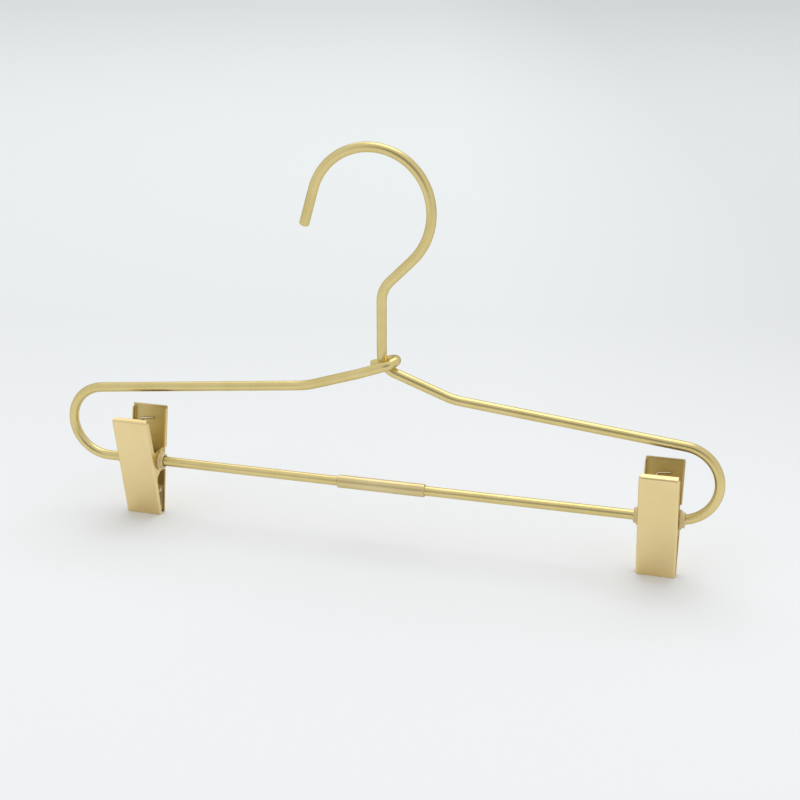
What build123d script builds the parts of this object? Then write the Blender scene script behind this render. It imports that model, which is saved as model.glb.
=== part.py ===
from build123d import *
import math
import os

# A skirt hanger: a bent wire frame with a rail hook, and two sprung metal clips on its lower bar.
# Everything is worked out on the frame's middle plane: X along the bar from the mid-width,
# Y through the wire, Z up from the bar's axis. The finished pieces are then moved so that
# the origin is the crest of the hook, on the face that sits on the rail.

# The frame wire
overall_width = 320.0
wire_diameter = 4.6
end_loop_radius = 17.9
arm_slope = 6.07
shoulder_slope = 20.3
shoulder_reach = 35.4
shoulder_bend_radius = 30.0

# The neck and the hook
stem_offset = 1.5
neck_bend_radius = 9.6
hook_foot_height = 91.2
hook_foot_radius = 13.25
hook_rise_slope = 45.3
hook_rise_length = 14.8
hook_flank_radius = 30.5
hook_flank_turn = 64.4
hook_crown_radius = 27.8
hook_crown_turn = 144.4
hook_tip_length = 17.8
hook_tip_rounding = 1.2

# The wrap of the second wire round the neck
wrap_clearance = 0.15
wrap_reach = 8.6
wrap_lead_in = 9.0
wrap_lead_in_radius = 24.0
wrap_tail = 4.8

# The sleeve that joins the two wire ends in the middle of the bar
ferrule_length = 42.9
ferrule_diameter = 6.2
ferrule_offset = 0.95
ferrule_edge_bevel = 0.35
swaged_clearance = 0.02
wire_end_gap = 0.4

# Where the clips stand on the bar: from the middle of each clip out to the start of the end bend
left_clip_to_bend = 18.1
right_clip_to_bend = 7.8

# The pressed jaws, measured from the bar's axis along and across the leaning plate
jaw_width = 18.14
jaw_face_offset = 8.25
jaw_lean = 11.45
handle_length = 26.4
jaw_length = 27.1
sheet = 0.7
side_bend_radius = 1.1
lip_bend_radius = 1.2
handle_flange_depth = 2.8
waist_flange_depth = 3.6
jaw_flange_depth = 2.5
tip_flange_depth = 1.2
flange_relief = 1.6

# The lugs that turn on the bushes
lug_radius = 4.8
lug_foot = 7.2
lug_blend_radius = 3.0
lug_gap = 0.1
rear_waist = 5.8

# The flanged plastic bushes that slide on the bar
bush_running_clearance = 0.05
bush_radius = 3.5
lug_running_clearance = 0.06
bush_disc_radius = 4.5
bush_disc_thickness = 1.0
bush_side_clearance = 0.08
bush_hub_radius = 3.65
bush_hub_length = 1.4
bush_mouth_widening = 0.55
bush_mouth_length = 3.6
bush_split = 0.4
bush_edge_bevel = 0.25

# The torsion spring: a coil round the bushes, with a leg on each plate whose end is bent across it
spring_wire = 1.15
spring_bore_clearance = 0.45
spring_pitch = 1.63
spring_full_turns = 5
spring_foot_drop = 7.4
spring_foot_length = 6.6
spring_foot_slope = 6.0
spring_corner_radius = 1.3
spring_seat_gap = 0.05
left_spring_shift = -0.5
right_spring_shift = 0.9

# The soft grip pads
pad_width = 15.4
pad_length = 12.6
pad_tip_setback = 0.5
pad_skin = 1.0
pad_grip_gap = 0.15
pad_rib_radius = 1.0
pad_rib_inset = 1.5

# Worked out from the above
wire_radius = wire_diameter / 2
bar_half_length = overall_width / 2 - wire_radius - end_loop_radius
loop_turn = 180 - arm_slope


def rise(slope, run):
    """Height gained over a horizontal run at a slope in degrees."""
    return run * math.tan(math.radians(slope))


def tangent_length(radius, turn):
    """Length that a bend takes off each of the two straights it joins."""
    return radius * math.tan(math.radians(turn) / 2)


# The arm leaves the end loop at its slope, meets the shoulder, and the two shoulders meet at the neck.
loop_exit = (
    bar_half_length + end_loop_radius * math.sin(math.radians(arm_slope)),
    end_loop_radius * (1 + math.cos(math.radians(arm_slope))),
)
shoulder_height = loop_exit[1] + rise(arm_slope, loop_exit[0] - shoulder_reach)
neck_height = shoulder_height + rise(shoulder_slope, shoulder_reach)


class BentWire:
    """A centreline in the XZ plane, drawn as straights and bends from a point and a heading."""

    def __init__(self, x, z, heading):
        self.x = x
        self.z = z
        self.heading = heading
        self.edges = []

    def run(self, length):
        """Goes straight on."""
        start = (self.x, 0, self.z)
        self.x += length * math.cos(math.radians(self.heading))
        self.z += length * math.sin(math.radians(self.heading))
        self.edges.append(Line(start, (self.x, 0, self.z)))

    def bend(self, radius, turn):
        """Turns along an arc: to the left when turn is positive, to the right when it is negative."""
        side = math.copysign(1, turn)
        centre_x = self.x - side * radius * math.sin(math.radians(self.heading))
        centre_z = self.z + side * radius * math.cos(math.radians(self.heading))

        def on_arc(angle):
            along = math.radians(self.heading + angle)
            return (
                centre_x + side * radius * math.sin(along),
                0,
                centre_z - side * radius * math.cos(along),
            )

        start = (self.x, 0, self.z)
        middle = on_arc(turn / 2)
        end = on_arc(turn)
        self.edges.append(ThreePointArc(start, middle, end))
        self.x = end[0]
        self.z = end[2]
        self.heading += turn


def round_wire(edges, radius):
    """Sweeps a round section along joined edges."""
    path = Wire(edges)
    start = Plane(path @ 0, z_dir=path % 0)
    return sweep(start * Circle(radius), path=path)


def hook_crest(wire):
    """Centre of the crown arc, seen from where that arc starts."""
    return (
        wire.x - hook_crown_radius * math.sin(math.radians(wire.heading)),
        wire.z + hook_crown_radius * math.cos(math.radians(wire.heading)),
    )


def draw_hook_wire():
    """Right half of the bar, right loop and arm, neck, stem and rail hook in one length of wire."""
    wire = BentWire(ferrule_offset + wire_end_gap / 2, 0, 0)
    wire.run(bar_half_length - wire.x)
    wire.bend(end_loop_radius, loop_turn)
    shoulder_turn = shoulder_slope - arm_slope
    arm = (loop_exit[0] - shoulder_reach) / math.cos(math.radians(arm_slope))
    wire.run(arm - tangent_length(shoulder_bend_radius, shoulder_turn))
    wire.bend(shoulder_bend_radius, -shoulder_turn)
    neck_turn = 90 - shoulder_slope
    upper = (shoulder_reach - stem_offset) / math.cos(math.radians(shoulder_slope))
    shoulder_used = tangent_length(shoulder_bend_radius, shoulder_turn)
    neck_used = tangent_length(neck_bend_radius, neck_turn)
    wire.run(upper - shoulder_used - neck_used)
    wire.bend(neck_bend_radius, -neck_turn)
    wire.run(hook_foot_height - wire.z)
    wire.bend(hook_foot_radius, hook_rise_slope - 90)
    wire.run(hook_rise_length)
    wire.bend(hook_flank_radius, hook_flank_turn)
    crest = hook_crest(wire)
    wire.bend(hook_crown_radius, hook_crown_turn)
    wire.run(hook_tip_length)
    return wire, crest


hook_path, crown_centre = draw_hook_wire()
seat_x = crown_centre[0]
seat_z = crown_centre[1] + hook_crown_radius - wire_radius
to_row = Pos(-seat_x, 0, -seat_z)


def hook_wire():
    """The wire that carries the hook, with its cut tip rounded off."""
    body = round_wire(hook_path.edges, wire_radius)
    tip = Vector(hook_path.x, 0, hook_path.z)
    end_face = body.faces().filter_by(GeomType.PLANE).sort_by_distance(tip)[0]
    return fillet(end_face.edges(), hook_tip_rounding)


def left_wire():
    """Left half of the bar, left loop and arm, and the wrap that ties the arm to the neck."""
    wire = BentWire(ferrule_offset - wire_end_gap / 2, 0, 180)
    wire.run(bar_half_length + wire.x)
    wire.bend(end_loop_radius, -loop_turn)
    slope = math.radians(shoulder_slope)
    along = Vector(math.cos(slope), 0, math.sin(slope))
    neck = Vector(0, 0, neck_height)
    beside = Vector(0, wire_diameter + wrap_clearance, 0)
    shoulder = Vector(-shoulder_reach, 0, shoulder_height)
    rest = FilletPolyline(
        Vector(wire.x, 0, wire.z),
        shoulder,
        neck - along * wrap_lead_in - beside,
        neck + along * wrap_reach - beside,
        neck + along * wrap_reach + beside,
        neck - along * wrap_tail + beside,
        radius=[
            shoulder_bend_radius,
            wrap_lead_in_radius,
            wire_diameter + wrap_clearance / 2,
            wire_diameter + wrap_clearance / 2,
        ],
    )
    return round_wire(wire.edges + list(rest.edges()), wire_radius)


def ferrule():
    """Swaged sleeve over the two butted wire ends."""
    tube = Cylinder(ferrule_diameter / 2, ferrule_length)
    tube = chamfer(tube.edges().filter_by(GeomType.CIRCLE), ferrule_edge_bevel)
    tube -= Cylinder(wire_radius + swaged_clearance, ferrule_length)
    return Pos(ferrule_offset, 0, 0) * Rot(0, 90, 0) * tube


# Across the clip, from its middle: the front lugs are outermost and the rear lugs turn just inside them.
front_lug_outside = jaw_width / 2
front_lug_inside = front_lug_outside - sheet
rear_lug_outside = front_lug_inside - lug_gap
rear_lug_inside = rear_lug_outside - sheet
bush_disc_inside = front_lug_outside + bush_side_clearance
bush_disc_outside = bush_disc_inside + bush_disc_thickness
bush_end = bush_disc_outside + bush_hub_length
web_inside_offset = jaw_face_offset - sheet
lug_bore_radius = bush_radius + lug_running_clearance


def strip(low, high, depth_low, depth_high):
    """Side view of a flange: a strip behind the plate's outer face, from one height to another."""
    return make_face(
        Polyline(
            (jaw_face_offset, low),
            (jaw_face_offset, high),
            (jaw_face_offset - depth_high, high),
            (jaw_face_offset - depth_low, low),
            close=True,
        )
    )


def lug_outline():
    """Side view of a lug: a disc round the bar with straight flanks down to the plate."""
    foot = Line((jaw_face_offset, -lug_foot), (jaw_face_offset, lug_foot))
    rim = CenterArc((0, 0), lug_radius, 0, 360)
    return make_hull([rim, foot])


def bent_sheet(outline, width, open_top):
    """A pressed tray: the side view across the width, hollowed to the sheet's thickness."""
    block = extrude(Plane.YZ * outline, amount=width / 2, both=True)
    long_edges = block.edges().filter_by(Axis.Z).group_by(Axis.Y)[-1]
    block = fillet(long_edges, side_bend_radius)
    if not open_top:
        top = block.faces().sort_by(Axis.Z)[-1].edges().filter_by(Axis.X).sort_by(Axis.Y)[-1]
        block = fillet(top, lip_bend_radius)
    box = block.bounding_box()
    inner_top = box.max.Z if open_top else box.max.Z - sheet
    hollow = Box(
        width - 2 * sheet,
        web_inside_offset - box.min.Y,
        inner_top - box.min.Z,
        align=(Align.CENTER, Align.MAX, Align.MAX),
    )
    hollow = Pos(0, web_inside_offset, inner_top) * hollow
    long_edges = hollow.edges().filter_by(Axis.Z).group_by(Axis.Y)[-1]
    hollow = fillet(long_edges, side_bend_radius - sheet)
    if not open_top:
        top = hollow.faces().sort_by(Axis.Z)[-1].edges().filter_by(Axis.X).sort_by(Axis.Y)[-1]
        hollow = fillet(top, lip_bend_radius - sheet)
    return block - hollow


def handle_outline(low):
    """Side view of the handle's flanges and its bent-in lip."""
    return strip(low, handle_length, waist_flange_depth, handle_flange_depth)


def jaw_outline(high):
    """Side view of the jaw's flanges, shallower towards the tip."""
    return strip(-jaw_length, high, tip_flange_depth, jaw_flange_depth)


def free_lip(tray):
    """Cuts the side flanges back from the lip, so that the lip folds by itself."""
    cut = Box(
        jaw_width,
        jaw_face_offset,
        flange_relief,
        align=(Align.CENTER, Align.MAX, Align.MAX),
    )
    cut -= Box(
        2 * front_lug_inside,
        jaw_face_offset,
        flange_relief,
        align=(Align.CENTER, Align.MAX, Align.MAX),
    )
    return tray - Pos(0, jaw_face_offset - side_bend_radius, handle_length) * cut


def bore_lugs(jaw, radius):
    """Bores the lugs for the bushes."""
    return jaw - Rot(0, 90, 0) * Cylinder(radius, 2 * jaw_width)


def front_jaw():
    """Front plate: its flanges swell into the outer pair of lugs."""
    outline = handle_outline(0) + jaw_outline(0) + lug_outline()
    notches = [
        vertex
        for vertex in outline.vertices()
        if vertex.X < jaw_face_offset - sheet and lug_radius < abs(vertex.Y) < handle_length - sheet
        and abs(vertex.Y) < jaw_length - sheet
    ]
    outline = fillet(notches, lug_blend_radius)
    tray = bent_sheet(outline, jaw_width, False)
    tray = free_lip(tray)
    return bore_lugs(tray, lug_bore_radius)


def rear_jaw():
    """Rear plate: its flanges stop short of the waist, where the inner pair of lugs is bent up."""
    wide = bent_sheet(handle_outline(0) + jaw_outline(0), jaw_width, False)
    wide = free_lip(wide)
    waist = Box(2 * jaw_width, 2 * jaw_face_offset + 2 * sheet, 2 * rear_waist)
    root = strip(-rear_waist, rear_waist, 2 * sheet, 2 * sheet)
    narrow = bent_sheet(root + lug_outline(), 2 * rear_lug_outside, True)
    jaw = wide - waist + (narrow & waist)
    return bore_lugs(jaw, lug_bore_radius)


def bush():
    """Flanged bush on the +X side: a spigot through the lugs, a disc against them and a hub outside."""
    bore = wire_radius + bush_running_clearance
    profile = make_face(
        Polyline(
            (bore, bush_split / 2),
            (bush_radius, bush_split / 2),
            (bush_radius, bush_disc_inside),
            (bush_disc_radius, bush_disc_inside),
            (bush_disc_radius, bush_disc_outside),
            (bush_hub_radius, bush_disc_outside),
            (bush_hub_radius, bush_end),
            (bore + bush_mouth_widening, bush_end),
            (bore, bush_end - bush_mouth_length),
            close=True,
        )
    )
    corners = profile.vertices().group_by(Axis.X)[-1]
    hub_corner = profile.vertices().sort_by_distance((bush_hub_radius, bush_end))[0]
    profile = chamfer(corners + [hub_corner], bush_edge_bevel)
    return Rot(0, 90, 0) * revolve(Plane.XZ * profile, Axis.Z)


def on_plate(across, along):
    """A point of the rear plate's side view, as Y and Z: across from the bar's axis, along the plate."""
    lean = math.radians(jaw_lean)
    return (
        across * math.cos(lean) + along * math.sin(lean),
        along * math.cos(lean) - across * math.sin(lean),
    )


def biarc(start, start_way, end, end_way):
    """Two arcs that leave one point along a direction and reach another along a second one."""
    chord = end - start
    both = start_way + end_way
    spread = 2 * (start_way.dot(end_way) - 1)
    reach = chord.dot(both)
    arm = (reach - math.sqrt(reach**2 - spread * chord.dot(chord))) / spread
    first = start + start_way * arm
    second = end - end_way * arm
    joint = (first + second) / 2
    return [
        Edge.make_tangent_arc(start, start_way, joint),
        Edge.make_tangent_arc(joint, (second - first).normalized(), end),
    ]


def touch_angle(point, radius):
    """Angle in degrees from +Y at which a line from the point touches a circle round the bar, low side."""
    y, z = point
    return math.degrees(math.atan2(z, y) - math.acos(radius / math.hypot(y, z)))


def spring_half():
    """Centreline from the tip of the foot on the rear plate, down its leg, to the middle of the coil."""
    radius = bush_radius + spring_bore_clearance + spring_wire / 2
    seat = web_inside_offset - spring_wire / 2 - spring_seat_gap
    foot_height = handle_length - spring_foot_drop
    corner = on_plate(seat, foot_height)
    tip = on_plate(seat, foot_height + rise(spring_foot_slope, spring_foot_length))
    first = touch_angle(corner, radius)
    sweep_angle = first + 90 + 180 * spring_full_turns
    pieces = math.ceil(sweep_angle / 90)
    outer = -spring_pitch * sweep_angle / 360

    def coil_point(step):
        turned = sweep_angle * step / pieces
        angle = math.radians(first - turned)
        x = outer + spring_pitch * turned / 360
        climb = 0 if step == 0 else spring_pitch / (2 * math.pi)
        place = Vector(x, radius * math.cos(angle), radius * math.sin(angle))
        way = Vector(climb, radius * math.sin(angle), -radius * math.cos(angle)).normalized()
        return place, way

    start, _ = coil_point(0)
    foot = FilletPolyline(
        (outer + spring_foot_length, *tip),
        (outer, *corner),
        start,
        radius=spring_corner_radius,
    )
    edges = list(foot.edges())
    for step in range(pieces):
        edges += biarc(*coil_point(step), *coil_point(step + 1))
    return edges


def least_gap(path, diameter, apart, samples):
    """Least clear distance between two stretches of a tube that lie further apart along it than a length."""
    points = [path @ (index / samples) for index in range(samples + 1)]
    step = path.length / samples
    skip = math.ceil(apart / step)
    nearest = min(
        (points[one] - points[other]).length
        for one in range(len(points))
        for other in range(one + skip, len(points))
    )
    return nearest - diameter


def spring():
    """Torsion spring: its second half is the first one turned half round the upright axis."""
    half = spring_half()
    path = Wire(half + [turn_round(edge) for edge in half])
    quarter_turn = math.pi * (bush_radius + spring_bore_clearance) / 2
    gap = least_gap(path, spring_wire, 2 * quarter_turn, 900)
    print(f"spring: length {path.length:.1f} mm, least gap to itself {gap:.2f} mm")
    section = Plane(path @ 0, z_dir=path % 0) * Circle(spring_wire / 2)
    return sweep(section, path=path)


def pad():
    """Soft grip pad on the rear plate: a thin skin with two ribs that meet the other pad's ribs."""
    back = web_inside_offset
    face = back - pad_skin
    low = pad_tip_setback - jaw_length
    high = low + pad_length
    outline = make_face(
        Polyline(
            on_plate(back, low),
            on_plate(back, high),
            on_plate(face, high),
            on_plate(face, low),
            close=True,
        )
    )
    for along in (low + pad_rib_inset, high - pad_rib_inset):
        height = on_plate(face, along)[1]
        rib = CenterArc((pad_grip_gap + pad_rib_radius, height), pad_rib_radius, 0, 360)
        root = Line(
            on_plate(back - pad_skin / 2, along - pad_rib_inset),
            on_plate(back - pad_skin / 2, along + pad_rib_inset),
        )
        outline += make_hull([rib, root])
    return extrude(Plane.YZ * outline, amount=pad_width / 2, both=True)


def lean_rear(piece):
    """Tips a plate's piece to the rear plate's lean."""
    return Rot(-jaw_lean, 0, 0) * piece


def turn_round(piece):
    """Turns a piece half round the upright axis, as from the rear plate to the front one."""
    return Rot(0, 0, 180) * piece


def clip_pieces(side, place, spring_shift):
    """The pieces of one clip, by name, on the bar at a place along X."""
    outward = math.copysign(1, place)
    bush_out = bush() if outward > 0 else turn_round(bush())
    bush_in = turn_round(bush()) if outward > 0 else bush()
    pieces = {
        "front_jaw": turn_round(lean_rear(front_jaw())),
        "rear_jaw": lean_rear(rear_jaw()),
        "spring": Pos(spring_shift, 0, 0) * spring(),
        "outer_bush": bush_out,
        "inner_bush": bush_in,
        "front_pad": turn_round(pad()),
        "rear_pad": pad(),
    }
    return {f"{side}_{name}": Pos(place, 0, 0) * piece for name, piece in pieces.items()}


def all_pieces():
    """Every piece by name, on the frame's middle plane."""
    pieces = {"hook_wire": hook_wire(), "left_wire": left_wire(), "ferrule": ferrule()}
    left_place = left_clip_to_bend - bar_half_length
    right_place = bar_half_length - right_clip_to_bend
    pieces.update(clip_pieces("left", left_place, left_spring_shift))
    pieces.update(clip_pieces("right", right_place, right_spring_shift))
    return pieces


os.makedirs("parts", exist_ok=True)
print(f"seat at {seat_x:.3f}, {seat_z:.3f}; bush end {bush_end:.3f}; bar straight to {bar_half_length:.2f}")
for name, piece in all_pieces().items():
    export_step(to_row * piece, f"parts/{name}.step")
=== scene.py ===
import math

import bmesh
import bpy
from mathutils import Matrix, Vector


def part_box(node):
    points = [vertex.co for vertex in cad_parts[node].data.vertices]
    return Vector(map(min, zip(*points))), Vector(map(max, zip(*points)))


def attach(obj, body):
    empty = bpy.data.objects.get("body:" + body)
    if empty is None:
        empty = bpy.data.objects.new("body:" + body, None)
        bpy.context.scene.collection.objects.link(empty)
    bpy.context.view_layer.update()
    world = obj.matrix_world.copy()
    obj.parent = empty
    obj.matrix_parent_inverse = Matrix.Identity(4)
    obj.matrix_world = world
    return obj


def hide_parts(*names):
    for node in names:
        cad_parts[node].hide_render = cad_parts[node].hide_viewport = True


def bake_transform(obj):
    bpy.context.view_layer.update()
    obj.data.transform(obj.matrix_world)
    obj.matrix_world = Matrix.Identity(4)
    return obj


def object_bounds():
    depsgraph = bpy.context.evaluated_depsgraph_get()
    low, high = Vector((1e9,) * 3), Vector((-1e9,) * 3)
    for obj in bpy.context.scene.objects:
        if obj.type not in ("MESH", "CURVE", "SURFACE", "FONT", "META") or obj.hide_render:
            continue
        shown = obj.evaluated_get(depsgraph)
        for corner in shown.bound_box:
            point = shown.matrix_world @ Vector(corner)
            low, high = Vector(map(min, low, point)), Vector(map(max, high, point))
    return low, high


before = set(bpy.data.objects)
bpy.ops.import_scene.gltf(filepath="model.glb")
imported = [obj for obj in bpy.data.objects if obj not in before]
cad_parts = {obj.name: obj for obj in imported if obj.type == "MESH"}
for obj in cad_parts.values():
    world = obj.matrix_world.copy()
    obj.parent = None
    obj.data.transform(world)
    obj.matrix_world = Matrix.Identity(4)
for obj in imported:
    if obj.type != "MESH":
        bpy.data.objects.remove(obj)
cad_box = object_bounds()

# The frame: two lengths of 4.6 mm steel wire, bent cold and tied at the neck, whose ends butt inside
# a sleeve swaged over the middle of the bar. All three are plated pale gold with a fine satin grain.
mm = 0.001
grain_range = (0.3, 0.7)
grain_strength = 0.25
grain_depth = 0.01 * mm
edge_tint = (0.55, 0.5, 0.4)
wire_tone = (0.78, 0.645, 0.3)
wire_deep_tone = (0.72, 0.585, 0.25)
sleeve_tone = (0.78, 0.65, 0.35)
sleeve_deep_tone = (0.72, 0.59, 0.3)


def add_noise(tree, vector, scale, detail, roughness):
    """A noise texture read at a vector."""
    noise = tree.nodes.new("ShaderNodeTexNoise")
    noise.inputs["Scale"].default_value = scale
    noise.inputs["Detail"].default_value = detail
    noise.inputs["Roughness"].default_value = roughness
    tree.links.new(vector, noise.inputs["Vector"])
    return noise.outputs["Fac"]


def add_range(tree, value, low, high, to_low=0, to_high=1):
    """Maps a value from one range to another, and holds it there."""
    node = tree.nodes.new("ShaderNodeMapRange")
    node.inputs["From Min"].default_value = low
    node.inputs["From Max"].default_value = high
    node.inputs["To Min"].default_value = to_low
    node.inputs["To Max"].default_value = to_high
    tree.links.new(value, node.inputs["Value"])
    return node.outputs["Result"]


def add_math(tree, operation, first, second):
    """Adds or multiplies two values."""
    node = tree.nodes.new("ShaderNodeMath")
    node.operation = operation
    tree.links.new(first, node.inputs[0])
    tree.links.new(second, node.inputs[1])
    return node.outputs["Value"]


def add_mix(tree, factor, first, second, way="MIX"):
    """Mixes two colours, each one a value or a socket, by a factor."""
    mix = tree.nodes.new("ShaderNodeMix")
    mix.data_type = "RGBA"
    mix.blend_type = way
    tree.links.new(factor, mix.inputs["Factor"])
    for name, colour in (("A", first), ("B", second)):
        if isinstance(colour, tuple):
            mix.inputs[name].default_value = (*colour, 1)
        else:
            tree.links.new(colour, mix.inputs[name])
    return mix.outputs["Result"]


def surface_group(name, patches, patch_range, grain, roughness_swing):
    """An uneven surface: patches of a second tone, and a grain that roughens and raises it."""
    group = bpy.data.node_groups.new(name, "ShaderNodeTree")
    colour, number = "NodeSocketColor", "NodeSocketFloat"
    for socket, kind in (("Tone", colour), ("Patch Tone", colour), ("Roughness", number)):
        group.interface.new_socket(name=socket, in_out="INPUT", socket_type=kind)
    for socket, kind in (("Color", colour), ("Roughness", number), ("Height", number)):
        group.interface.new_socket(name=socket, in_out="OUTPUT", socket_type=kind)
    start = group.nodes.new("NodeGroupInput")
    end = group.nodes.new("NodeGroupOutput")
    place = group.nodes.new("ShaderNodeTexCoord").outputs["Object"]
    share = add_range(group, add_noise(group, place, **patches), *patch_range)
    tone = add_mix(group, share, start.outputs["Tone"], start.outputs["Patch Tone"])
    height = add_noise(group, place, **grain)
    swing = add_range(group, height, *grain_range, *roughness_swing)
    group.links.new(tone, end.inputs["Color"])
    group.links.new(add_math(group, "ADD", start.outputs["Roughness"], swing), end.inputs["Roughness"])
    group.links.new(height, end.inputs["Height"])
    return group


def surface_material(name, group, tone, patch_tone, roughness, strength, depth):
    """A material that takes its colour, roughness and bump from a surface group, and its shader."""
    material = bpy.data.materials.new(name)
    material.use_nodes = True
    tree = material.node_tree
    shader = tree.nodes["Principled BSDF"]
    surface = tree.nodes.new("ShaderNodeGroup")
    surface.node_tree = group
    surface.inputs["Tone"].default_value = (*tone, 1)
    surface.inputs["Patch Tone"].default_value = (*patch_tone, 1)
    surface.inputs["Roughness"].default_value = roughness
    bump = tree.nodes.new("ShaderNodeBump")
    bump.inputs["Strength"].default_value = strength
    bump.inputs["Distance"].default_value = depth
    tree.links.new(surface.outputs["Height"], bump.inputs["Height"])
    tree.links.new(surface.outputs["Color"], shader.inputs["Base Color"])
    tree.links.new(surface.outputs["Roughness"], shader.inputs["Roughness"])
    tree.links.new(bump.outputs["Normal"], shader.inputs["Normal"])
    return material, shader


satin = surface_group(
    "satin plating",
    patches={"scale": 60, "detail": 3, "roughness": 0.55},
    patch_range=(0.38, 0.68),
    grain={"scale": 4200, "detail": 2, "roughness": 0.6},
    roughness_swing=(-0.03, 0.05),
)


def plated_metal(name, tone, deep_tone, roughness, depth=grain_depth):
    """Plated steel with a satin grain, whose tone deepens where it turns away."""
    material, shader = surface_material(name, satin, tone, deep_tone, roughness, grain_strength, depth)
    shader.inputs["Metallic"].default_value = 1
    shader.inputs["Specular Tint"].default_value = (*edge_tint, 1)
    return material


def finish_node(node, material):
    """Gives a carried-over node its material."""
    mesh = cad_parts[node].data
    mesh.materials.clear()
    mesh.materials.append(material)


gold_wire = plated_metal("gold wire", wire_tone, wire_deep_tone, roughness=0.28)
finish_node("hook_wire", gold_wire)
finish_node("left_wire", gold_wire)
gold_sleeve = plated_metal(
    "gold sleeve", sleeve_tone, sleeve_deep_tone, roughness=0.32, depth=2 * grain_depth
)
finish_node("ferrule", gold_sleeve)

# The jaws: each is one blank of 0.7 mm steel, pressed into a shallow tray and plated, with a lip folded
# a little less than square over the handle's end and two lugs bored for the bushes. The front jaw's
# lugs stand outside; the rear jaw is cut back at the waist, and its own pair turns just inside them.
tiny = 0.001 * mm
quarter_turn = math.radians(90)
half_turn = math.radians(180)
full_turn = math.radians(360)
jaw_width = 18.14 * mm
sheet = 0.7 * mm
outer_face = 8.25 * mm
inner_face = outer_face - sheet
lean = math.radians(11.45)
handle_length = 26.4 * mm
jaw_length = 27.1 * mm
side_bend = 1.1 * mm
lip_bend = 1.2 * mm
lip_slope = math.radians(8)
handle_flange = 2.8 * mm
waist_flange = 3.6 * mm
jaw_flange = 2.5 * mm
tip_flange = 1.2 * mm
flange_relief = 1.6 * mm
lug_radius = 4.8 * mm
lug_foot = 7.2 * mm
lug_blend = 3.0 * mm
lug_gap = 0.1 * mm
lug_bore = 3.56 * mm
rear_waist = 5.8 * mm
sheared_edge = 0.12 * mm
merge_gap = 0.02 * mm
flat_angle = math.radians(0.5)
sharp_angle = math.radians(40)
arc_step = math.radians(7.5)
plate_tone = (0.9, 0.725, 0.38)
plate_deep_tone = (0.865, 0.69, 0.345)
# Painted shade: the faces inside the tray get a darker tone, for the shade in its hollow.
inside_shade_tone = (0.75, 0.6, 0.26)
inside_shade_deep_tone = (0.65, 0.51, 0.2)
gold_plate = plated_metal("gold plate", plate_tone, plate_deep_tone, roughness=0.3)
gold_inside_shaded = plated_metal("gold plate inside with painted shade", inside_shade_tone, inside_shade_deep_tone, roughness=0.4)


def select_only(piece):
    """Makes one object the only selected and active one."""
    bpy.ops.object.select_all(action="DESELECT")
    piece.select_set(True)
    bpy.context.view_layer.objects.active = piece


def open_mesh(piece, kind, action):
    """Opens a mesh in edit mode to pick vertices, edges or faces, with all or none picked."""
    select_only(piece)
    bpy.ops.object.mode_set(mode="EDIT")
    bpy.ops.mesh.select_mode(type=kind)
    bpy.ops.mesh.select_all(action=action)


def apply_place(piece):
    """Writes an object's place and turn into its mesh."""
    select_only(piece)
    bpy.ops.object.transform_apply(location=True, rotation=True, scale=True)


def apply_modifier(piece, name, kind, **settings):
    """Adds a modifier with its settings, and applies it."""
    modifier = piece.modifiers.new(name, kind)
    for setting, value in settings.items():
        setattr(modifier, setting, value)
    select_only(piece)
    bpy.ops.object.modifier_apply(modifier=modifier.name)


def combine(piece, other, way):
    """Adds a second solid to a piece, or cuts it away, and clears the second one."""
    apply_modifier(piece, "combine", "BOOLEAN", object=other, operation=way, solver="EXACT")
    bpy.data.objects.remove(other)


def round_edges(piece, test, radius, steps):
    """Rounds the edges whose two ends pass a test."""
    open_mesh(piece, "EDGE", "DESELECT")
    shape = bmesh.from_edit_mesh(piece.data)
    for edge in shape.edges:
        edge.select_set(test(edge.verts[0].co, edge.verts[1].co))
    bmesh.update_edit_mesh(piece.data)
    bpy.ops.mesh.bevel(offset=radius, segments=steps, affect="EDGES")
    bpy.ops.object.mode_set(mode="OBJECT")


def soften(piece, width, steps=2, angle=sharp_angle):
    """Breaks a piece's sharp edges, and evens the shading over them."""
    open_mesh(piece, "VERT", "SELECT")
    bpy.ops.mesh.remove_doubles(threshold=merge_gap)
    bpy.ops.mesh.dissolve_limited(angle_limit=flat_angle)
    bpy.ops.object.mode_set(mode="OBJECT")
    apply_modifier(
        piece,
        "edges",
        "BEVEL",
        width=width,
        segments=steps,
        limit_method="ANGLE",
        angle_limit=angle,
        use_clamp_overlap=False,
    )
    select_only(piece)
    bpy.ops.object.shade_smooth_by_angle(angle=angle)
    apply_modifier(piece, "shading", "WEIGHTED_NORMAL", keep_sharp=True)


def block(low, high):
    """A box between two corners."""
    bpy.ops.object.select_all(action="DESELECT")
    bpy.ops.mesh.primitive_cube_add(size=1, location=(Vector(low) + Vector(high)) / 2)
    bpy.context.object.scale = Vector(high) - Vector(low)
    apply_place(bpy.context.object)
    return bpy.context.object


def round_corner(corner, before, after, radius):
    """Points of the arc that rounds a corner between its two neighbours."""
    back = (before - corner).normalized()
    on = (after - corner).normalized()
    half = back.angle(on) / 2
    centre = corner + (back + on).normalized() * radius / math.sin(half)
    start = corner + back * radius / math.tan(half) - centre
    end = corner + on * radius / math.tan(half) - centre
    turn = start.angle(end)
    steps = math.ceil(turn / arc_step)
    points = []
    for step in range(steps + 1):
        part = step * turn / steps
        arm = (start * math.sin(turn - part) + end * math.sin(part)) / math.sin(turn)
        points.append(centre + arm)
    return points


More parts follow.
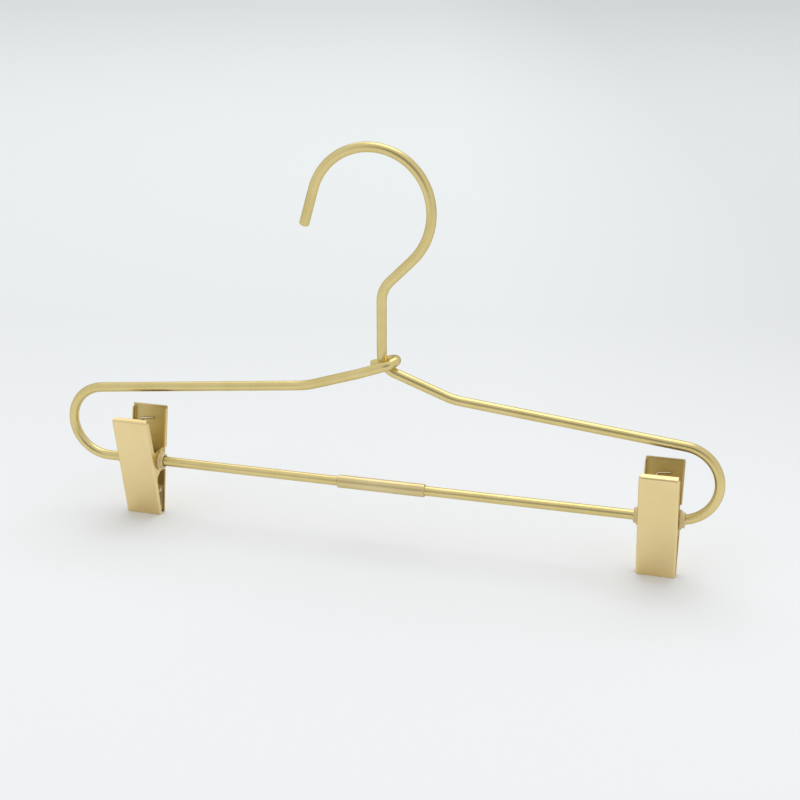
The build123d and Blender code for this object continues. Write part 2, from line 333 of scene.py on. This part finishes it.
def prism(corners, width):
    """A solid with one side view: its (point, radius) corners are drawn as a line and extruded."""
    outline = []
    for index, (corner, radius) in enumerate(corners):
        if radius > 0:
            after = corners[(index + 1) % len(corners)][0]
            outline += round_corner(corner, corners[index - 1][0], after, radius)
        else:
            outline.append(corner)
    curve = bpy.data.curves.new("outline", "CURVE")
    curve.dimensions = "3D"
    line = curve.splines.new("POLY")
    line.points.add(len(outline) - 1)
    for point, place in zip(line.points, outline):
        point.co = (-width / 2, place.x, place.y, 1)
    line.use_cyclic_u = True
    solid = bpy.data.objects.new("outline", curve)
    bpy.context.scene.collection.objects.link(solid)
    select_only(solid)
    bpy.ops.object.convert(target="MESH")
    solid = bpy.context.object
    open_mesh(solid, "VERT", "SELECT")
    bpy.ops.mesh.edge_face_add()
    bpy.ops.mesh.extrude_region_move(TRANSFORM_OT_translate={"value": (width, 0, 0)})
    bpy.ops.mesh.select_all(action="SELECT")
    bpy.ops.mesh.normals_make_consistent(inside=False)
    bpy.ops.object.mode_set(mode="OBJECT")
    return solid


def touch_point(point, radius, side, centre=Vector((0, 0))):
    """Where a line from a point touches a circle, on its high side (1) or its low side (-1)."""
    away = point - centre
    angle = math.atan2(away.y, away.x) + side * math.acos(radius / away.length)
    return centre + radius * Vector((math.cos(angle), math.sin(angle)))


def crossing(a, b, c, d):
    """Where the line through a and b meets the line through c and d."""
    return a + (b - a) * (c - a).cross(d - c) / (b - a).cross(d - c)


def long_edge(a, b):
    """True for an edge where the plate, up to the end of its lip, turns into a flange."""
    on_plate_or_lip = min(a.y, b.y) > outer_face - lip_bend - tiny
    return on_plate_or_lip and a.x * b.x > 0 and abs(a.z - b.z) > tiny


def tray(corners, hollow, width):
    """A pressed tray: a solid of the side view with its long edges rounded, less its hollow."""
    piece = prism(corners, width)
    round_edges(piece, long_edge, side_bend, steps=5)
    inside = prism(hollow, width - 2 * sheet)
    round_edges(inside, long_edge, side_bend - sheet, steps=4)
    combine(piece, inside, "DIFFERENCE")
    return piece


def free_lip(piece):
    """Cuts the flanges back from the lip."""
    for side in (-1, 1):
        edge = side * (jaw_width / 2 - sheet - tiny)
        low = (min(edge, side * jaw_width), -outer_face, handle_length - flange_relief)
        high = (max(edge, side * jaw_width), outer_face - side_bend, handle_length + sheet)
        combine(piece, block(low, high), "DIFFERENCE")


def plate_tray(piece):
    """Plates a tray: darker and rougher on the faces inside it, where the darker tone is painted shade;
    bright on all others.
    """
    piece.data.materials.clear()
    piece.data.materials.append(gold_plate)
    piece.data.materials.append(gold_inside_shaded)
    open_mesh(piece, "FACE", "DESELECT")
    shape = bmesh.from_edit_mesh(piece.data)
    for face in shape.faces:
        middle = face.calc_center_median()
        between_flanges = abs(middle.x) < jaw_width / 2 - sheet + tiny
        below_lip = middle.z < handle_length - sheet / 2
        face.select_set(between_flanges and below_lip and middle.y < inner_face + tiny)
    bmesh.update_edit_mesh(piece.data)
    piece.active_material_index = 1
    bpy.ops.object.material_slot_assign()
    bpy.ops.object.mode_set(mode="OBJECT")


def finish_jaw(piece):
    """Bores both lugs, plates the tray, breaks its sheared edges and leans it."""
    bpy.ops.object.select_all(action="DESELECT")
    bpy.ops.mesh.primitive_cylinder_add(
        vertices=64, radius=lug_bore, depth=2 * jaw_width, rotation=(0, quarter_turn, 0)
    )
    bore = bpy.context.object
    apply_place(bore)
    combine(piece, bore, "DIFFERENCE")
    plate_tray(piece)
    soften(piece, sheared_edge)
    piece.rotation_euler = (-lean, 0, 0)
    apply_place(piece)


foot_high = Vector((outer_face, lug_foot))
foot_low = Vector((outer_face, -lug_foot))
touch_high = touch_point(foot_high, lug_radius, 1)
touch_low = touch_point(foot_low, lug_radius, -1)
lug_apex = crossing(foot_high, touch_high, foot_low, touch_low)
waist_high = Vector((outer_face - waist_flange, 0))
waist_low = Vector((outer_face - jaw_flange, 0))
lip_rise = handle_flange * math.tan(lip_slope)
lip_end = Vector((outer_face - handle_flange, handle_length + lip_rise))
tip_end = Vector((outer_face - tip_flange, -jaw_length))
plate_low = Vector((outer_face, -jaw_length))
plate_high = Vector((outer_face, handle_length))
under_lip = handle_length - sheet * (1 / math.cos(lip_slope) - math.tan(lip_slope))
under_lip_end = under_lip + (inner_face + 2 * outer_face) * math.tan(lip_slope)
tray_hollow = [
    (Vector((-2 * outer_face, -2 * jaw_length)), 0),
    (Vector((inner_face, -2 * jaw_length)), 0),
    (Vector((inner_face, under_lip)), lip_bend - sheet),
    (Vector((-2 * outer_face, under_lip_end)), 0),
]

front_model = tray(
    [
        (plate_low, 0),
        (plate_high, lip_bend),
        (lip_end, 0),
        (crossing(foot_high, touch_high, waist_high, lip_end), lug_blend),
        (lug_apex, lug_radius),
        (crossing(foot_low, touch_low, waist_low, tip_end), lug_blend),
        (tip_end, 0),
    ],
    tray_hollow,
    jaw_width,
)
free_lip(front_model)
finish_jaw(front_model)

rear_model = tray(
    [
        (plate_low, 0),
        (plate_high, lip_bend),
        (lip_end, 0),
        (waist_high, 0),
        (waist_low, 0),
        (tip_end, 0),
    ],
    tray_hollow,
    jaw_width,
)
free_lip(rear_model)
waist_cut = block((-jaw_width, -outer_face, -rear_waist), (jaw_width, 2 * outer_face, rear_waist))
combine(rear_model, waist_cut, "DIFFERENCE")
waist_top = (Vector((0, rear_waist)), Vector((outer_face, rear_waist)))
waist_bottom = (Vector((0, -rear_waist)), Vector((outer_face, -rear_waist)))
lug_model = tray(
    [
        (waist_bottom[1], 0),
        (waist_top[1], 0),
        (crossing(foot_high, touch_high, *waist_top), 0),
        (lug_apex, lug_radius),
        (crossing(foot_low, touch_low, *waist_bottom), 0),
    ],
    [
        (Vector((-2 * outer_face, -2 * rear_waist)), 0),
        (Vector((inner_face, -2 * rear_waist)), 0),
        (Vector((inner_face, 2 * rear_waist)), 0),
        (Vector((-2 * outer_face, 2 * rear_waist)), 0),
    ],
    jaw_width - 2 * sheet - 2 * lug_gap,
)
combine(rear_model, lug_model, "UNION")
finish_jaw(rear_model)

bar_height = sum(corner.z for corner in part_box("ferrule")) / 2
clip_place = {}
for side in ("left", "right"):
    clip_place[side] = sum(corner.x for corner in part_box(f"{side}_front_jaw")) / 2


def put_on_bar(model, name, side, turn=0, shift=0):
    """A copy of a clip's piece, with its own mesh, turned about the upright axis and put in place."""
    piece = model.copy()
    piece.data = model.data.copy()
    piece.name = f"{side}_{name}"
    bpy.context.scene.collection.objects.link(piece)
    place = Matrix.Translation((clip_place[side] + shift, 0, bar_height))
    piece.matrix_world = place @ Matrix.Rotation(turn, 4, "Z")
    apply_place(piece)
    return piece


def fasten(piece, node, body):
    """Shows a piece in place of its CAD node, on its body."""
    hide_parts(node)
    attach(piece, body)


for side in ("left", "right"):
    front_plate = put_on_bar(front_model, "front_plate", side, half_turn)
    fasten(front_plate, f"{side}_front_jaw", f"{side}_front")
    rear_plate = put_on_bar(rear_model, "rear_plate", side)
    fasten(rear_plate, f"{side}_rear_jaw", f"{side}_rear")
bpy.data.objects.remove(front_model)
bpy.data.objects.remove(rear_model)


# The bushes: cloudy natural plastic, moulded with a spigot that carries the lugs, a disc that keeps
# them together and a hub outside, whose mouth widens so that the clip slides up to the wire's bend.
bush_bore = 2.35 * mm
bush_radius = 3.5 * mm
disc_radius = 4.5 * mm
disc_gap = 0.08 * mm
disc_inside = jaw_width / 2 + disc_gap
disc_thickness = 1.0 * mm
disc_outside = disc_inside + disc_thickness
hub_radius = 3.65 * mm
hub_length = 1.4 * mm
bush_end = disc_outside + hub_length
mouth_widening = 0.55 * mm
mouth_length = 3.6 * mm
bush_split = 0.4 * mm
rim_round = 0.25 * mm
bush_edge = 0.06 * mm
cloud_noise = {"scale": 300, "detail": 3, "roughness": 0.6}
cloud_strength = 0.15
cloud_depth = 0.02 * mm
plastic_ior = 1.46
bush_tone = (0.94, 0.77, 0.42)
bush_cloud_tone = (0.89, 0.7, 0.35)
clouds = surface_group(
    "cloudy plastic",
    patches=cloud_noise,
    patch_range=(0.35, 0.7),
    grain=cloud_noise,
    roughness_swing=(-0.05, 0.1),
)


def cloudy_plastic(name, tone, cloud_tone, roughness, clearness):
    """Clear plastic with milky clouds in it and a faintly uneven skin."""
    material, shader = surface_material(
        name, clouds, tone, cloud_tone, roughness, cloud_strength, cloud_depth
    )
    shader.inputs["Transmission Weight"].default_value = clearness
    shader.inputs["IOR"].default_value = plastic_ior
    return material


def turned(rings):
    """A piece turned about the bar: a circle extruded and resized from ring to ring, then closed."""
    radius, place = rings[0]
    bpy.ops.object.select_all(action="DESELECT")
    bpy.ops.mesh.primitive_circle_add(
        vertices=72, radius=radius, location=(place, 0, 0), rotation=(0, quarter_turn, 0)
    )
    piece = bpy.context.object
    apply_place(piece)
    open_mesh(piece, "VERT", "SELECT")
    for next_radius, next_place in rings[1:]:
        bpy.ops.mesh.extrude_region_move(TRANSFORM_OT_translate={"value": (next_place - place, 0, 0)})
        growth = next_radius / radius
        bpy.ops.transform.resize(value=(1, growth, growth), center_override=(0, 0, 0))
        radius = next_radius
        place = next_place
    bpy.ops.mesh.select_all(action="DESELECT")
    bpy.ops.mesh.select_non_manifold()
    bpy.ops.mesh.bridge_edge_loops()
    bpy.ops.mesh.select_all(action="SELECT")
    bpy.ops.mesh.normals_make_consistent(inside=False)
    bpy.ops.object.mode_set(mode="OBJECT")
    return piece


def bush_rim(a, b):
    """True for the edges round the disc's rim and round the hub's end."""
    radius = math.hypot(a.y, a.z)
    on_ring = abs(a.x - b.x) < tiny and abs(math.hypot(b.y, b.z) - radius) < tiny
    on_disc = radius > disc_radius - tiny
    on_hub = a.x > bush_end - tiny and radius > hub_radius - tiny
    return on_ring and (on_disc or on_hub)


clear_bush = cloudy_plastic("clear bush", bush_tone, bush_cloud_tone, roughness=0.3, clearness=0.25)
bush_model = turned(
    [
        (bush_bore, bush_split / 2),
        (bush_radius, bush_split / 2),
        (bush_radius, disc_inside),
        (disc_radius, disc_inside),
        (disc_radius, disc_outside),
        (hub_radius, disc_outside),
        (hub_radius, bush_end),
        (bush_bore + mouth_widening, bush_end),
        (bush_bore, bush_end - mouth_length),
    ]
)
round_edges(bush_model, bush_rim, rim_round, steps=4)
soften(bush_model, bush_edge)
bush_model.data.materials.append(clear_bush)
for side, outward in (("left", half_turn), ("right", 0)):
    for name, turn in (("outer", outward), ("inner", half_turn - outward)):
        bush = put_on_bar(bush_model, f"{name}_bushing", side, turn)
        fasten(bush, f"{side}_{name}_bush", f"{side}_slider")
bpy.data.objects.remove(bush_model)


# The torsion springs: 1.15 mm spring wire, plated too, wound round the bushes. Each leg runs up the
# inside of its plate, and its end is bent across the plate, which shows above the front jaw.
spring_wire = 1.15 * mm
coil_clearance = 0.45 * mm
coil_radius = bush_radius + coil_clearance + spring_wire / 2
coil_step = math.radians(10)
spring_pitch = 1.63 * mm
spring_whole_turns = 5
foot_drop = 7.4 * mm
foot_length = 6.6 * mm
foot_tilt = math.radians(6)
spring_corner = 1.3 * mm
spring_seat_gap = 0.05 * mm
spring_end_edge = 0.1 * mm
spring_end_angle = math.radians(60)
spring_shift = {"left": -0.5 * mm, "right": 0.9 * mm}
spring_tone = (0.8, 0.73, 0.56)
spring_deep_tone = (0.7, 0.62, 0.46)
spring_steel = plated_metal("spring steel", spring_tone, spring_deep_tone, roughness=0.18)


def on_plate(across, along):
    """A point of the leaning rear plate's side view."""
    return Vector(
        (
            across * math.cos(lean) + along * math.sin(lean),
            along * math.cos(lean) - across * math.sin(lean),
        )
    )


def spring_half_route():
    """The wire's middle line from the rear foot's tip, down the leg, to the middle of the coil."""
    seat = inner_face - spring_wire / 2 - spring_seat_gap
    corner = on_plate(seat, handle_length - foot_drop)
    tip = on_plate(seat, handle_length - foot_drop + foot_length * math.tan(foot_tilt))
    touch = touch_point(corner, coil_radius, -1)
    first = math.atan2(touch.y, touch.x)
    sweep = first + quarter_turn + spring_whole_turns * half_turn
    outer = -spring_pitch * sweep / full_turn
    route = [Vector((outer + foot_length, *tip))]
    route += round_corner(Vector((outer, *corner)), route[0], Vector((outer, *touch)), spring_corner)
    steps = math.ceil(sweep / coil_step)
    for step in range(steps + 1):
        wound = sweep * step / steps
        angle = first - wound
        along = outer + spring_pitch * wound / full_turn
        route.append(Vector((along, coil_radius * math.cos(angle), coil_radius * math.sin(angle))))
    return route


half_route = spring_half_route()
route = half_route + [Vector((-point.x, -point.y, point.z)) for point in reversed(half_route[:-1])]
wire_curve = bpy.data.curves.new("spring", "CURVE")
wire_curve.dimensions = "3D"
wire_curve.bevel_depth = spring_wire / 2
wire_curve.bevel_resolution = 5
wire_curve.use_fill_caps = True
wire_line = wire_curve.splines.new("POLY")
wire_line.points.add(len(route) - 1)
for point, place in zip(wire_line.points, route):
    point.co = (*place, 1)
spring_model = bpy.data.objects.new("spring", wire_curve)
bpy.context.scene.collection.objects.link(spring_model)
select_only(spring_model)
bpy.ops.object.convert(target="MESH")
spring_model = bpy.context.object
soften(spring_model, spring_end_edge, angle=spring_end_angle)
spring_model.data.materials.clear()
spring_model.data.materials.append(spring_steel)
for side in ("left", "right"):
    spring = put_on_bar(spring_model, "torsion_spring", side, shift=spring_shift[side])
    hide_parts(f"{side}_spring")
    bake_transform(spring)
bpy.data.objects.remove(spring_model)


# The grip pads: soft cloudy vinyl, moulded as a thin skin with two ribs and pushed into the jaws'
# lower ends. The ribs of the two pads meet and hold the cloth.
pad_width = 15.4 * mm
pad_length = 12.6 * mm
pad_inset = 0.5 * mm
pad_low = pad_inset - jaw_length
pad_high = pad_low + pad_length
pad_skin = 1.0 * mm
pad_face = inner_face - pad_skin
pad_grip_gap = 0.15 * mm
pad_edge = 0.15 * mm
rib_radius = 1.0 * mm
rib_inset = 1.5 * mm
pad_tone = (0.87, 0.73, 0.4)
pad_cloud_tone = (0.8, 0.65, 0.32)


def rib_corners(along):
    """The corners of one rib, from its upper root over its crest to its lower root."""
    centre = Vector((pad_grip_gap + rib_radius, on_plate(pad_face, along).y))
    skin_line = on_plate(pad_face, pad_low), on_plate(pad_face, pad_high)
    flanks = []
    for way in (1, -1):
        root = on_plate(inner_face - pad_skin / 2, along + way * rib_inset)
        flanks.append((root, touch_point(root, rib_radius, way, centre)))
    return [
        (crossing(*flanks[0], *skin_line), 0),
        (crossing(*flanks[0], *flanks[1]), rib_radius),
        (crossing(*flanks[1], *skin_line), 0),
    ]


clear_pad = cloudy_plastic("clear pad", pad_tone, pad_cloud_tone, roughness=0.45, clearness=0.3)
pad_model = prism(
    [
        (on_plate(inner_face, pad_low), 0),
        (on_plate(inner_face, pad_high), 0),
        (on_plate(pad_face, pad_high), 0),
        *rib_corners(pad_high - rib_inset),
        *rib_corners(pad_low + rib_inset),
        (on_plate(pad_face, pad_low), 0),
    ],
    pad_width,
)
soften(pad_model, pad_edge, steps=3)
pad_model.data.materials.append(clear_pad)
for side in ("left", "right"):
    front_grip = put_on_bar(pad_model, "front_grip", side, half_turn)
    fasten(front_grip, f"{side}_front_pad", f"{side}_front")
    rear_grip = put_on_bar(pad_model, "rear_grip", side)
    fasten(rear_grip, f"{side}_rear_pad", f"{side}_rear")
bpy.data.objects.remove(pad_model)


# The camera: it stands a little to the right of the hanger and looks down on it, at the
# photograph's viewing angle.
camera_turn = math.radians(15.79)
camera_rise = math.radians(20.48)
camera_distance = 0.70675
camera_target = Vector((0.013545, 0, -0.114574))
sensor_width = 36
focal_length = 68.82
camera_way = Vector(
    (
        math.sin(camera_turn) * math.cos(camera_rise),
        -math.cos(camera_turn) * math.cos(camera_rise),
        math.sin(camera_rise),
    )
)
lens = bpy.data.cameras.new("camera")
lens.sensor_width = sensor_width
lens.lens = focal_length
camera = bpy.data.objects.new("camera", lens)
camera.location = camera_target + camera_distance * camera_way
camera.rotation_euler = (quarter_turn - camera_rise, 0, camera_turn)
bpy.context.scene.collection.objects.link(camera)
bpy.context.scene.camera = camera
bpy.context.scene.view_settings.view_transform = "Standard"

# The studio: a wide pale floor in an even bright room, with a large softbox overhead and a small one
# behind on the left. A darker patch of the room behind the camera draws the dark line along the wires.
# The floor's tone carries painted shade, darker away from the camera and towards the right; it drifts
# with distance and ends as the room's does, so that no horizon shows.
floor_size = 24
near_tone = (0.91, 0.92, 0.925)
middle_tone = (0.825, 0.84, 0.845)
middle_band = (-0.05, 0.35)
far_tone = (0.83, 0.87, 0.86)
far_band = (0.35, 1.6)
painted_right_shade = (0.91, 0.91, 0.91)
right_band = (0.08, 0.34)
right_start_band = (-0.05, 0.3)
horizon_tone = (0.885, 0.91, 0.9)
horizon_band = (2.6, 5)
room_tone = (0.8, 0.81, 0.82)
seen_room_tone = (0.68, 0.71, 0.71)
patch_tone = (0.26, 0.26, 0.27)
patch_way = Vector((0.12, -0.95, 0.28)).normalized()
patch_band = (0.84, 0.97)
lamp_aim = (0, 0, -0.1)

bpy.ops.object.select_all(action="DESELECT")
bpy.ops.mesh.primitive_plane_add(size=floor_size, location=(0, 0, cad_box[0][2]))
floor = bpy.context.object
floor.name = "studio_floor"
floor_paint = bpy.data.materials.new("studio floor")
floor_paint.use_nodes = True
paint_tree = floor_paint.node_tree
paint = paint_tree.nodes["Principled BSDF"]
paint.inputs["Roughness"].default_value = 0.9
paint.inputs["Specular IOR Level"].default_value = 0
floor_place = paint_tree.nodes.new("ShaderNodeTexCoord").outputs["Object"]
facing = paint_tree.nodes.new("ShaderNodeMapping")
facing.inputs["Rotation"].default_value = (0, 0, -camera_turn)
paint_tree.links.new(floor_place, facing.inputs["Vector"])
split = paint_tree.nodes.new("ShaderNodeSeparateXYZ")
paint_tree.links.new(facing.outputs["Vector"], split.inputs["Vector"])
across, away = split.outputs["X"], split.outputs["Y"]
# Painted shade: the floor's tone darkens away from the camera, and is multiplied darker towards the
# right.
floor_tone = add_mix(paint_tree, add_range(paint_tree, away, *middle_band), near_tone, middle_tone)
floor_tone = add_mix(paint_tree, add_range(paint_tree, away, *far_band), floor_tone, far_tone)
right_share = add_math(
    paint_tree,
    "MULTIPLY",
    add_range(paint_tree, across, *right_band),
    add_range(paint_tree, away, *right_start_band),
)
floor_tone = add_mix(paint_tree, right_share, floor_tone, painted_right_shade, "MULTIPLY")
distance = paint_tree.nodes.new("ShaderNodeVectorMath")
distance.operation = "LENGTH"
paint_tree.links.new(facing.outputs["Vector"], distance.inputs[0])
horizon_share = add_range(paint_tree, distance.outputs["Value"], *horizon_band)
floor_tone = add_mix(paint_tree, horizon_share, floor_tone, horizon_tone)
paint_tree.links.new(floor_tone, paint.inputs["Base Color"])
floor.data.materials.append(floor_paint)

world = bpy.data.worlds.new("studio")
bpy.context.scene.world = world
world.use_nodes = True
sky = world.node_tree
toward_patch = sky.nodes.new("ShaderNodeVectorMath")
toward_patch.operation = "DOT_PRODUCT"
toward_patch.inputs[1].default_value = patch_way
sky.links.new(sky.nodes.new("ShaderNodeTexCoord").outputs["Generated"], toward_patch.inputs[0])
patch_share = add_range(sky, toward_patch.outputs["Value"], *patch_band)
room = add_mix(sky, patch_share, room_tone, patch_tone)
seen = sky.nodes.new("ShaderNodeLightPath").outputs["Is Camera Ray"]
sky.links.new(add_mix(sky, seen, room, seen_room_tone), sky.nodes["Background"].inputs["Color"])


def softbox(name, place, size, power):
    """A rectangular area light at a place, turned to the hanger."""
    lamp = bpy.data.lights.new(name, "AREA")
    lamp.shape = "RECTANGLE"
    lamp.size, lamp.size_y = size
    lamp.energy = power
    light = bpy.data.objects.new(name, lamp)
    light.location = place
    light.rotation_euler = (Vector(lamp_aim) - Vector(place)).to_track_quat("-Z", "Y").to_euler()
    bpy.context.scene.collection.objects.link(light)


softbox("softbox", place=(0.05, 0.7, 1.7), size=(1.2, 2.0), power=9.6)
softbox("side_softbox", place=(-0.92, 1.2, 1.5), size=(0.74, 0.8), power=1.9)
